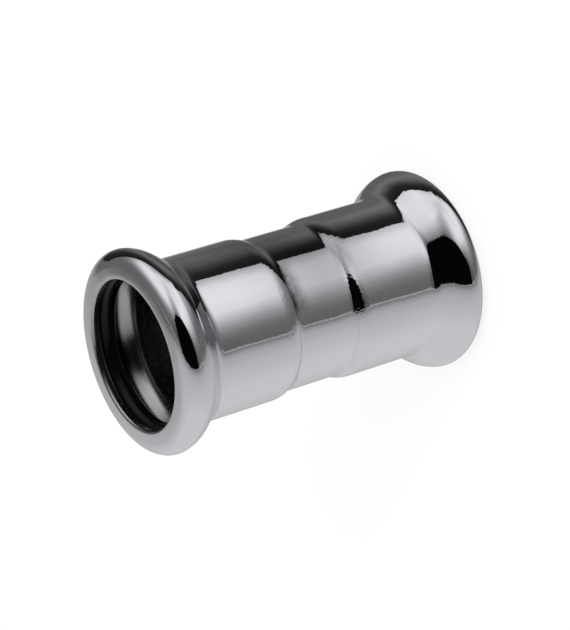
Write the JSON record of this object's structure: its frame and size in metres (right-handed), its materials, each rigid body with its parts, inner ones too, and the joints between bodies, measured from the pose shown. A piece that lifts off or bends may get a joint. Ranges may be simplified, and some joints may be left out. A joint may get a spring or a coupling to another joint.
{
  "type": "press fit fitting",
  "caption": "Straight press coupling that joins steel pipes end to end: a formed tube with a socket and a rolled bead at each end, a rubber ring in each bead and a neck that stops the pipes.",
  "frame": {"origin": "the middle of the coupling's run: on its axis, halfway between the two mouths", "axes": "+Z is the coupling's axis, upright as it stands on its lower mouth, and points out of the upper mouth; X and Y are alike"},
  "size_m": [0.0316, 0.0316, 0.0542],
  "materials": {
    "plated_steel": "bright and mirror smooth, as zinc-plated steel is, with faint waves left by forming",
    "seal_rubber": "moulded black rubber, lightly greased"
  },
  "bodies": {
    "root": {"coupling_body": "plated_steel", "upper_seal_ring": "seal_rubber", "lower_seal_ring": "seal_rubber"}
  },
  "joints": []
}
